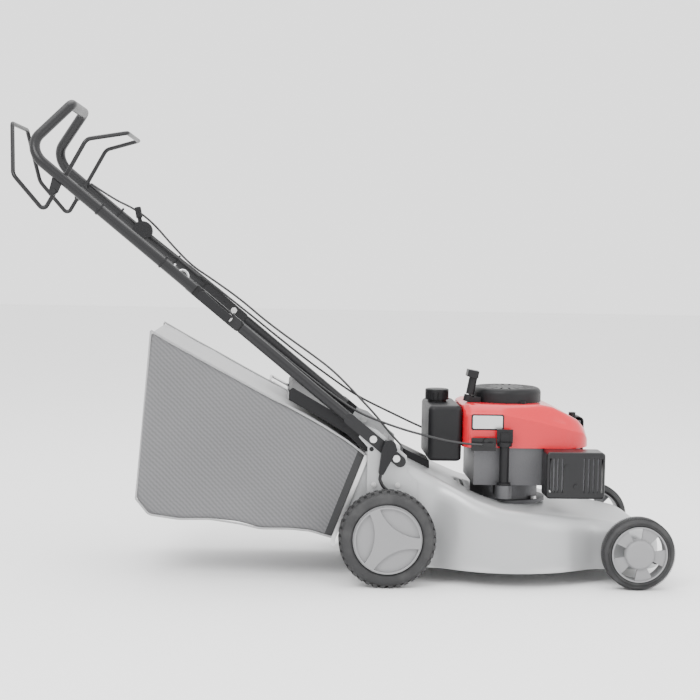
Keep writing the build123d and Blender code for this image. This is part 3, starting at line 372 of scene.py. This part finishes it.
def tread_tree():
    """Blocks set round a wheel in two or more rows, turned about Z."""
    tree = bpy.data.node_groups.new("tread_blocks", "GeometryNodeTree")
    tree.interface.new_socket("Geometry", in_out="OUTPUT", socket_type="NodeSocketGeometry")
    sizes = {"Count": "Int", "Radius": "Float", "Block": "Vector", "Lean": "Float", "Offset": "Float",
             "Phase": "Float"}
    for name, kind in sizes.items():
        tree.interface.new_socket(name, in_out="INPUT", socket_type="NodeSocket" + kind)
    tree.interface.new_socket("Rubber", in_out="INPUT", socket_type="NodeSocketMaterial")
    new, link = tree.nodes.new, tree.links.new
    given, result = new("NodeGroupInput"), new("NodeGroupOutput")
    line = new("GeometryNodePoints")
    index, step, turned, angle = new("GeometryNodeInputIndex"), *(new("ShaderNodeMath") for _ in range(3))
    step.operation, turned.operation, angle.operation = "DIVIDE", "ADD", "MULTIPLY"
    link(given.outputs["Count"], line.inputs["Count"])
    link(index.outputs[0], turned.inputs[0])
    link(given.outputs["Phase"], turned.inputs[1])
    link(turned.outputs[0], step.inputs[0])
    link(given.outputs["Count"], step.inputs[1])
    link(step.outputs[0], angle.inputs[0])
    angle.inputs[1].default_value = 2 * math.pi
    cosine, sine, along, across = (new("ShaderNodeMath") for _ in range(4))
    cosine.operation = "COSINE"
    sine.operation = "SINE"
    along.operation = "MULTIPLY"
    across.operation = "MULTIPLY"
    link(angle.outputs[0], cosine.inputs[0])
    link(angle.outputs[0], sine.inputs[0])
    link(cosine.outputs[0], along.inputs[0])
    link(sine.outputs[0], across.inputs[0])
    link(given.outputs["Radius"], along.inputs[1])
    link(given.outputs["Radius"], across.inputs[1])
    spot, facing = new("ShaderNodeCombineXYZ"), new("ShaderNodeCombineXYZ")
    link(along.outputs[0], spot.inputs[0])
    link(across.outputs[0], spot.inputs[1])
    link(given.outputs["Offset"], spot.inputs[2])
    link(spot.outputs[0], line.inputs["Position"])
    link(given.outputs["Lean"], facing.inputs[0])
    link(angle.outputs[0], facing.inputs[2])
    block, scatter, solid, paint = (new("GeometryNode" + kind) for kind in (
        "MeshCube", "InstanceOnPoints", "RealizeInstances", "SetMaterial"))
    link(given.outputs["Block"], block.inputs["Size"])
    link(line.outputs[0], scatter.inputs["Points"])
    link(block.outputs[0], scatter.inputs["Instance"])
    link(facing.outputs[0], scatter.inputs["Rotation"])
    link(scatter.outputs[0], solid.inputs[0])
    link(solid.outputs[0], paint.inputs[0])
    link(given.outputs["Rubber"], paint.inputs["Material"])
    link(paint.outputs[0], result.inputs[0])
    return tree


TREAD = tread_tree()


def blocks(count, radius, size, lean, offset, phase):
    """One row of tread blocks as a plain mesh about the Z axis."""
    holder = bpy.data.objects.new("tread_row", bpy.data.meshes.new("tread_row"))
    bpy.context.scene.collection.objects.link(holder)
    change = holder.modifiers.new("tread", "NODES")
    change.node_group = TREAD
    given = {"Count": count, "Radius": radius, "Block": size, "Lean": lean, "Offset": offset, "Phase": phase,
             "Rubber": FINISHES["tyre_rubber"]}
    for name, value in given.items():
        change[socket_of(TREAD, name)] = value
    bpy.context.view_layer.update()
    graph = bpy.context.evaluated_depsgraph_get()
    mesh = bpy.data.meshes.new_from_object(holder.evaluated_get(graph))
    holder.modifiers.remove(change)
    bpy.data.objects.remove(holder)
    return mesh


def joined(name, meshes):
    work = bmesh.new()
    for mesh in meshes:
        work.from_mesh(mesh)
    result = bpy.data.meshes.new(name)
    work.to_mesh(result)
    work.free()
    return result


def make_tyre(side, end, groove, count, rows, size, lean):
    """A tyre's carcass with its rows of tread blocks, in its CAD node's outer size."""
    node = "tyre_%s_%s" % (end, side)
    low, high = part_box(node)
    centre, outer = (low + high) / 2, (high.z - low.z) / 2
    half = (high.y - low.y) / 2
    bore = (0.072 if end == "rear" else 0.058) + 0.0002
    base = outer - groove
    section = [
        (bore, -half + 0.004), (bore + 0.003, -half + 0.0005), (bore + 0.007, -half), (base - 0.012, -half),
        (base - 0.005, -half + 0.0015), (base - 0.001, -half + 0.006), (base, -half + 0.011), (base, half - 0.011),
        (base - 0.001, half - 0.006), (base - 0.005, half - 0.0015), (base - 0.012, half),
        (bore + 0.007, half), (bore + 0.003, half - 0.0005), (bore, half - 0.004),
    ]
    meshes = [lathe(node + "_carcass", section, Vector((0, 0, 0)))]
    stand = Matrix.Rotation(math.radians(90), 4, "X")
    radius = outer - size[0] / 2 - 0.0008
    for row in range(rows):
        share = (row + 0.5) / rows * 2 - 1
        slant = lean if row % 2 else -lean
        mesh = blocks(count, radius, size, slant, share * (half - size[2] / 2), 0.5 * (row % 2))
        mesh.transform(stand)
        meshes.append(mesh)
    mesh = joined(node + "_tread", meshes)
    mesh.transform(Matrix.Translation(centre))
    piece = keep(node + "_tread", mesh, "wheel_%s_%s" % (end, side), "tyre_rubber")
    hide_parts(node)


def make_tyres():
    for side in ("right", "left"):
        make_tyre(side, "rear", 0.0045, 38, 3, (0.007, 0.0095, 0.0125), 0.0)
        make_tyre(side, "front", 0.002, 110, 2, (0.004, 0.0022, 0.0175), 0.0)


# ---------------------------------------------------------------- grass bag
BAG_TOP = [(-0.046, 0.266), (-0.085, 0.296), (-0.138, 0.329), (-0.211, 0.369), (-0.240, 0.382),
           (-0.304, 0.416),
           (-0.368, 0.451), (-0.432, 0.485), (-0.494, 0.520)]
BAG_FOOT = [(-0.113, 0.091), (-0.158, 0.105), (-0.200, 0.110), (-0.263, 0.110), (-0.306, 0.120),
            (-0.369, 0.129),
            (-0.432, 0.128), (-0.495, 0.137), (-0.522, 0.170)]
BAG_HALF_W = 0.176
MOUTH_HALF_W = 0.165
STATIONS = 46
EDGE_STATIONS = 2  # the black strip sewn round the mouth


def on_line(points, share):
    """The point a share of the way along a list of points."""
    place = share * (len(points) - 1)
    k = min(int(place), len(points) - 2)
    part = place - k
    return tuple(a + (b - a) * part for a, b in zip(points[k], points[k + 1]))


def bag_ring(share):
    """One cross-section of the bag, from its foot's middle round by the left, with its cloth's slack."""
    top, foot = on_line(BAG_TOP, share), on_line(BAG_FOOT, share)
    half = MOUTH_HALF_W + (BAG_HALF_W - MOUTH_HALF_W) * min(1.0, share * 4)
    slack = math.sin(math.pi * min(1.0, share * 1.05)) ** 0.7
    ring = []
    sides = [
        ("foot", 0.0, 1.0, 9), ("left", 0.0, 1.0, 20), ("top", 1.0, -1.0, 18), ("right", 1.0, 0.0, 20),
        ("foot", -1.0, 0.0, 9),
    ]
    for side, first, last, count in sides:
        for k in range(count):
            t = first + (last - first) * k / count
            if side == "foot":
                y, rise, push = t * half, 0.0, -0.004 * slack * (1 - t * t)
            elif side == "top":
                y, rise, push = t * half, 1.0, 0.005 * slack * (1 - t * t)
            else:
                sign = 1 if side == "left" else -1
                swell = -0.010 * slack * math.sin(math.pi * t) ** 1.2
                y, rise, push = sign * (half + swell), t, 0.0
            x = foot[0] + (top[0] - foot[0]) * rise
            z = foot[1] + (top[1] - foot[1]) * rise + push
            ring.append((x, y, z, side))
    return ring


def make_bag():
    """The sewn bag: mesh sides, foot and back, and a close-woven top."""
    mesh = bpy.data.meshes.new("grass_bag_cloth")
    work = bmesh.new()
    sewing = work.loops.layers.uv.new("sewing")
    rings, sides = [], []
    for k in range(STATIONS + 1):
        share = k / STATIONS
        ring = bag_ring(share)
        verts = []
        for x, y, z, side in ring:
            place = at(x, y, z)
            hem = min(1.0, share * 6) * min(1.0, (1 - share) * 8 + 0.15)
            fold = noise.noise(Vector((x * 9, y * 5 + 3, z * 6))) * 0.004
            crease = noise.noise(Vector((x * 22 + z * 14, y * 9, z * 20 - x * 9))) * 0.0022
            if side in ("left", "right"):
                place.y += (1 if side == "left" else -1) * (fold + crease) * hem
            else:
                place.z += (fold + crease) * hem
            verts.append(work.verts.new(place))
        rings.append(verts)
        sides = [side for *_, side in ring]
    count = len(sides)
    for k in range(STATIONS):
        for i in range(count):
            j = (i + 1) % count
            face = work.faces.new((rings[k][i], rings[k + 1][i], rings[k + 1][j], rings[k][j]))
            face.material_index = 2 if k < EDGE_STATIONS else (1 if sides[i] == "top" else 0)
            for loop in face.loops:
                co = loop.vert.co
                across = co.z if sides[i] in ("left", "right") else co.y
                loop[sewing].uv = (co.x, across)
    last = rings[-1]
    centre = sum((vert.co for vert in last), Vector()) / count
    inner = last
    for step in range(1, 9):
        share = step / 9
        ring = []
        for vert in last:
            place = vert.co.lerp(centre, share)
            place.x -= 0.006 * math.sin(math.pi * share) + 0.003 * noise.noise(place * 14)
            ring.append(work.verts.new(place))
        for i in range(count):
            j = (i + 1) % count
            face = work.faces.new((inner[i], ring[i], ring[j], inner[j]))
            for loop in face.loops:
                loop[sewing].uv = (loop.vert.co.y, loop.vert.co.z)
        inner = ring
    hub = work.verts.new(centre)
    for i in range(count):
        face = work.faces.new((inner[i], hub, inner[(i + 1) % count]))
        for loop in face.loops:
            loop[sewing].uv = (loop.vert.co.y, loop.vert.co.z)
    bmesh.ops.recalc_face_normals(work, faces=work.faces)
    work.to_mesh(mesh)
    work.free()
    smooth(mesh)
    mesh.materials.append(FINISHES["bag_mesh"])
    mesh.materials.append(TOP_CLOTH)
    mesh.materials.append(EDGE_CLOTH)
    bag = bpy.data.objects.new("grass_bag_cloth", mesh)
    bpy.context.scene.collection.objects.link(bag)
    wall = bag.modifiers.new("wall", "SOLIDIFY")
    wall.thickness = 0.0014
    wall.offset = -1
    finer = bag.modifiers.new("finer", "SUBSURF")
    finer.levels = finer.render_levels = 1
    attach(bag, "grass_bag")
    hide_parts("bag_fabric")


def make_bag_seams():
    """The piping sewn along the bag's four long edges and round its back."""
    for side in (1, -1):
        for label, line, lift in (("top", BAG_TOP, 0.001), ("foot", BAG_FOOT, 0.0)):
            points = []
            for k in range(25):
                share = k / 24
                x, z = on_line(line, share)
                half = MOUTH_HALF_W + (BAG_HALF_W - MOUTH_HALF_W) * min(1.0, share * 4)
                points.append(at(x, side * (half + 0.0005), z + lift))
            name = "bag_piping_%s_%s" % (label, "left" if side > 0 else "right")
            keep(name, curve_mesh(name, points, 0.0021), "grass_bag", "bag_mesh", TOP_CLOTH)
    top, foot = BAG_TOP[-1], BAG_FOOT[-1]
    for side in (1, -1):
        points = []
        for k in range(13):
            share = k / 12
            bow = 0.006 * math.sin(math.pi * share)
            points.append(at(foot[0] + (top[0] - foot[0]) * share, side * (BAG_HALF_W - bow),
                             foot[1] + (top[1] - foot[1]) * share))
        name = "bag_piping_back_" + ("left" if side > 0 else "right")
        keep(name, curve_mesh(name, points, 0.0021), "grass_bag", "bag_mesh", TOP_CLOTH)


# ---------------------------------------------------------------- engine cowl and label
COWL_REAR, COWL_FRONT = 0.168, 0.447
COWL_HALF_W = 0.112
COWL_FOOT = 0.277
COWL_TOP = [(0.168, 0.364), (0.182, 0.369), (0.332, 0.369), (0.362, 0.364), (0.392, 0.350), (0.420, 0.335),
            (0.439, 0.315), (0.447, 0.297)]
COWL_CREASE = [(0.168, 0.348), (0.254, 0.349), (0.340, 0.332), (0.431, 0.309), (0.447, 0.290)]
COWL_STATIONS = 64


def height_on(line, x):
    """The height of a side outline at a place along the mower."""
    for (x0, z0), (x1, z1) in zip(line, line[1:]):
        if x <= x1:
            return z0 + (z1 - z0) * (x - x0) / (x1 - x0)
    return line[-1][1]


def cowl_half(x):
    """The cowl's half width, which rounds in at both ends."""
    front, rear = 0.070, 0.026
    if x > COWL_FRONT - front:
        return COWL_HALF_W - front + math.sqrt(max(0.0, front ** 2 - (x - COWL_FRONT + front) ** 2))
    if x < COWL_REAR + rear:
        return COWL_HALF_W - rear + math.sqrt(max(0.0, rear ** 2 - (COWL_REAR + rear - x) ** 2))
    return COWL_HALF_W


def make_cowl():
    """The red cowl: flat sides up to a crease, a leaning shoulder, and a top that is flat from side to side."""
    work = bmesh.new()
    rings = []
    for k in range(COWL_STATIONS + 1):
        share = k / COWL_STATIONS
        x = COWL_REAR + (COWL_FRONT - COWL_REAR) * (0.5 - 0.5 * math.cos(math.pi * share))
        half = cowl_half(x)
        crease, top = height_on(COWL_CREASE, x), height_on(COWL_TOP, x)
        crease = min(crease, top - 0.003)
        half_section = [(half, COWL_FOOT), (half, COWL_FOOT + 0.004)]
        half_section += [(half - 0.001 * t, COWL_FOOT + (crease - COWL_FOOT) * t) for t in (0.3, 0.6, 0.9)]
        half_section += [(half - 0.001, crease - 0.001), (half - 0.003, crease + 0.001)]
        for t in (0.2, 0.45, 0.7, 0.88):
            rise = (top - crease) * math.sin(t * math.pi / 2)
            half_section.append((half - 0.003 - 0.025 * t, crease + rise))
        half_section += [((half - 0.03) * t, top + 0.0) for t in (0.9, 0.6, 0.3)]
        section = [(y, z) for y, z in half_section] + [(0.0, top)]
        section += [(-y, z) for y, z in reversed(half_section)]
        rings.append([work.verts.new(at(x, y, z)) for y, z in section])
    for one, two in zip(rings, rings[1:]):
        for i in range(len(one) - 1):
            work.faces.new((one[i], one[i + 1], two[i + 1], two[i]))
    for ring in (rings[0], rings[-1]):
        half = len(ring) // 2
        for i in range(half):
            left, right = (ring[i], ring[i + 1]), (ring[-1 - i], ring[-2 - i])
            corners = (left[0], left[1], right[1], right[0]) if left[1] is not right[1] else (
                left[0], left[1], right[0])
            work.faces.new(corners)
    bmesh.ops.recalc_face_normals(work, faces=work.faces)
    mesh = bpy.data.meshes.new("engine_cowl")
    work.to_mesh(mesh)
    work.free()
    smooth(mesh)
    cowl = keep("engine_cowl", mesh, None, "red_cowl")
    wall = cowl.modifiers.new("wall", "SOLIDIFY")
    wall.thickness = 0.002
    wall.offset = -1
    edge = cowl.modifiers.new("edge", "EDGE_SPLIT")
    edge.split_angle = math.radians(38)
    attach(cowl, "deck")
    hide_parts("shroud")


def plate(name, x0, x1, z0, z1, y, thick, corner, body, slot, material=None):
    """A thin plate with round corners that faces the mower's right side."""
    outline = []
    for cx, cz, start in ((x1, z1, 0), (x0, z1, 90), (x0, z0, 180), (x1, z0, 270)):
        sx, sz = (1 if cx == x1 else -1), (1 if cz == z1 else -1)
        for k in range(7):
            angle = math.radians(start + 15 * k)
            outline.append((cx + corner * (math.cos(angle) - sx), cz + corner * (math.sin(angle) - sz)))
    work = bmesh.new()
    face = [work.verts.new(at(x, y - thick, z)) for x, z in outline]
    rim = [work.verts.new(at(x, y - thick + 0.0003, z)) for x, z in outline]
    back = [work.verts.new(at(x, y, z)) for x, z in outline]
    centre = sum((vert.co for vert in face), Vector()) / len(face)
    for vert in face:
        vert.co.x += (centre.x - vert.co.x) * 0.012
        vert.co.z += (centre.z - vert.co.z) * 0.02
    work.faces.new(face)
    work.faces.new(back)
    for one, two in ((face, rim), (rim, back)):
        for i in range(len(one)):
            j = (i + 1) % len(one)
            work.faces.new((one[i], one[j], two[j], two[i]))
    bmesh.ops.recalc_face_normals(work, faces=work.faces)
    mesh = bpy.data.meshes.new(name)
    work.to_mesh(mesh)
    work.free()
    return keep(name, mesh, body, slot, material)


def make_labels():
    """The cowl's label, left blank, on its dark backing."""
    side = -COWL_HALF_W - 0.0002
    plate("label_backing", 0.184, 0.254, 0.315, 0.349, side + 0.0006, 0.0007, 0.004, "deck", "black_plastic")
    plate("blank_label", 0.187, 0.251, 0.318, 0.346, side, 0.0008, 0.003, "deck", "plated_steel")


# ---------------------------------------------------------------- deck
DECK_REAR, DECK_NOSE = 0.035, 0.590
DECK_HALF_W, DECK_DRUM_R = 0.182, 0.240
DRUM_X = 0.272
DECK_FOOT = 0.032
DECK_CORNER_R = 0.060
DECK_CREST = [(0.035, 0.254), (0.107, 0.219), (0.188, 0.180), (0.240, 0.1635), (0.371, 0.146), (0.472, 0.130),
              (0.560, 0.112), (0.590, 0.088)]
DECK_WALL = 0.0022
PAD_R, PAD_TOP = 0.100, 0.152
TUNNEL_HALF_W, TUNNEL_FLOOR, TUNNEL_ROOF = 0.160, 0.140, 0.247
DECK_STATIONS = 110


def soft_max(a, b, blend):
    """The larger of two lengths, eased where they cross."""
    mix = max(blend - abs(a - b), 0.0) / blend
    return max(a, b) + mix * mix * blend / 4


def deck_half(x):
    """The deck's half width: a drum round the blade, a straight body, and round front corners."""
    chord = math.sqrt(max(0.0, DECK_DRUM_R ** 2 - (x - DRUM_X) ** 2))
    half = soft_max(DECK_HALF_W, chord, 0.020) if chord > 0.1 else DECK_HALF_W
    past = x - (DECK_NOSE - DECK_CORNER_R)
    if past > 0:
        half -= DECK_CORNER_R - math.sqrt(max(0.0, DECK_CORNER_R ** 2 - past ** 2))
    return min(half, DECK_DRUM_R)


def eased_crest(x):
    """The crest's height, with its corners eased."""
    reach = 0.012
    near = [min(max(x + reach * k, DECK_REAR), DECK_NOSE) for k in (-1, -0.5, 0, 0.5, 1)]
    return sum(height_on(DECK_CREST, place) for place in near) / len(near)


def deck_section(x):
    """Half of the deck's cross-section, from the foot of the skirt to the middle line."""
    half, crest = deck_half(x), eased_crest(x)
    drop = min(0.040, (crest - DECK_FOOT) * 0.5)
    roll = 0.027
    wall = crest - drop
    points = [(half + 0.0, DECK_FOOT), (half, DECK_FOOT + 0.003), (half - 0.0022, DECK_FOOT + 0.006)]
    points += [(half - 0.0022, DECK_FOOT + (wall - DECK_FOOT) * t) for t in (0.25, 0.5, 0.75, 0.96)]
    for k in range(1, 9):
        angle = math.pi / 2 * k / 8
        points.append((half - 0.0022 - roll * (1 - math.cos(angle)), wall + drop * math.sin(angle)))
    inner = half - 0.0022 - roll
    for k in range(1, 15):
        y = inner * (1 - k / 14)
        away = math.hypot(x - DRUM_X, y)
        level = min(1.0, max(0.0, (away - PAD_R) / 0.010))
        sunk = 1 - level * level * (3 - 2 * level)
        points.append((y, crest + (min(crest, PAD_TOP - 0.0003) - crest) * sunk))
    return points


def make_deck_skin():
    """The pressed deck with its rounded shoulder, and the chute behind it."""
    work = bmesh.new()
    rings = []
    for k in range(DECK_STATIONS + 1):
        share = k / DECK_STATIONS
        x = DECK_REAR + (DECK_NOSE - DECK_REAR) * math.sin(share * math.pi / 2) ** 0.9
        half = deck_section(x)
        section = half + [(-y, z) for y, z in reversed(half[:-1])]
        rings.append([work.verts.new(at(x, y, z)) for y, z in section])
    for one, two in zip(rings, rings[1:]):
        for i in range(len(one) - 1):
            work.faces.new((one[i], one[i + 1], two[i + 1], two[i]))
    nose = rings[-1]
    for i in range(len(nose) // 2):
        a, b, c, d = nose[i], nose[i + 1], nose[-2 - i], nose[-1 - i]
        work.faces.new((a, b, c, d) if b is not c else (a, b, d))
    x = DECK_REAR
    half, crest = deck_half(x), eased_crest(x)
    walls = [(-half, half, DECK_FOOT, TUNNEL_FLOOR), (-half, -TUNNEL_HALF_W, TUNNEL_FLOOR, crest - 0.045),
             (TUNNEL_HALF_W, half, TUNNEL_FLOOR, crest - 0.045)]
    for y0, y1, z0, z1 in walls:
        work.faces.new([work.verts.new(at(x, y, z)) for y, z in ((y0, z0), (y1, z0), (y1, z1), (y0, z1))])
    slope = 67.0 / 176.0
    back_roof = -0.044
    back_floor = back_roof - (TUNNEL_ROOF - TUNNEL_FLOOR) * slope
    corners = [(-TUNNEL_HALF_W, TUNNEL_FLOOR, back_floor), (-TUNNEL_HALF_W, TUNNEL_ROOF, back_roof),
               (TUNNEL_HALF_W, TUNNEL_ROOF, back_roof), (TUNNEL_HALF_W, TUNNEL_FLOOR, back_floor)]
    for k in range(4):
        (y0, z0, b0), (y1, z1, b1) = corners[k], corners[(k + 1) % 4]
        work.faces.new([work.verts.new(point) for point in (
            at(0.041, y0, z0), at(0.041, y1, z1), at(b1, y1, z1), at(b0, y0, z0))])
    bmesh.ops.remove_doubles(work, verts=work.verts, dist=0.00002)
    bmesh.ops.recalc_face_normals(work, faces=work.faces)
    mesh = bpy.data.meshes.new("deck_skin")
    work.to_mesh(mesh)
    work.free()
    smooth(mesh)
    skin = keep("deck_skin", mesh, None, "silver_steel")
    wall = skin.modifiers.new("wall", "SOLIDIFY")
    wall.thickness = DECK_WALL
    wall.offset = -1
    edge = skin.modifiers.new("edge", "EDGE_SPLIT")
    edge.split_angle = math.radians(42)
    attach(skin, "deck")
    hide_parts("deck_shell")


# ---------------------------------------------------------------- ties
HANDLE_SLOPE = math.radians(39.19)


def handle_place(x, y):
    return at(x, y, 0.2544 + (0.029 - x) * math.tan(HANDLE_SLOPE))


TIE_WIDTH = 0.0045


def make_tie(name, x, y, reach, body):
    """A band round the handle tube with its head on the upper side."""
    along = Vector((-math.cos(HANDLE_SLOPE), 0, math.sin(HANDLE_SLOPE)))
    over = Vector((math.sin(HANDLE_SLOPE), 0, math.cos(HANDLE_SLOPE)))
    aside = Vector((0, 1, 0))
    centre = handle_place(x, y)
    work = bmesh.new()
    steps = 40
    loops = []
    for k in range(steps):
        angle = 2 * math.pi * k / steps
        out = aside * math.cos(angle) + over * math.sin(angle)
        head = 0.0035 if abs(angle - math.pi / 2) < 0.3 else 0.0
        section = [(-0.5, 0.0), (-0.5, 0.0010), (-0.32, 0.0014), (0.32, 0.0014), (0.5, 0.0010), (0.5, 0.0)]
        loops.append([
            work.verts.new(centre + out * (reach + rise + (head if rise else 0)) + along * (TIE_WIDTH * side))
            for side, rise in section])
    for k in range(steps):
        one, two = loops[k], loops[(k + 1) % steps]
        for i in range(len(one)):
            j = (i + 1) % len(one)
            work.faces.new((one[i], one[j], two[j], two[i]))
    bmesh.ops.recalc_face_normals(work, faces=work.faces)
    mesh = bpy.data.meshes.new(name)
    work.to_mesh(mesh)
    work.free()
    keep(name, mesh, body, "black_plastic")


def make_ties():
    for side, label in ((-0.19, "right"), (0.19, "left")):
        for k, x in enumerate((-0.470, -0.600)):
            make_tie("cable_tie_%s_%d" % (label, k + 1), x, side, 0.0112, "upper_handle")


def make_floor():
    mesh = bpy.data.meshes.new("floor")
    reach = 14
    mesh.from_pydata([(-reach, -reach, 0), (reach, -reach, 0), (reach, reach, 0), (-reach, reach, 0)], [],
                     [(0, 1, 2, 3)])
    mesh.materials.append(FLOOR_FINISH)
    floor = bpy.data.objects.new("floor", mesh)
    bpy.context.scene.collection.objects.link(floor)


make_camera()
make_studio()
make_floor()
finish_cad_nodes()
make_cables()
make_tyres()
make_bag()
make_bag_seams()
make_deck_skin()
make_cowl()
make_labels()
make_ties()
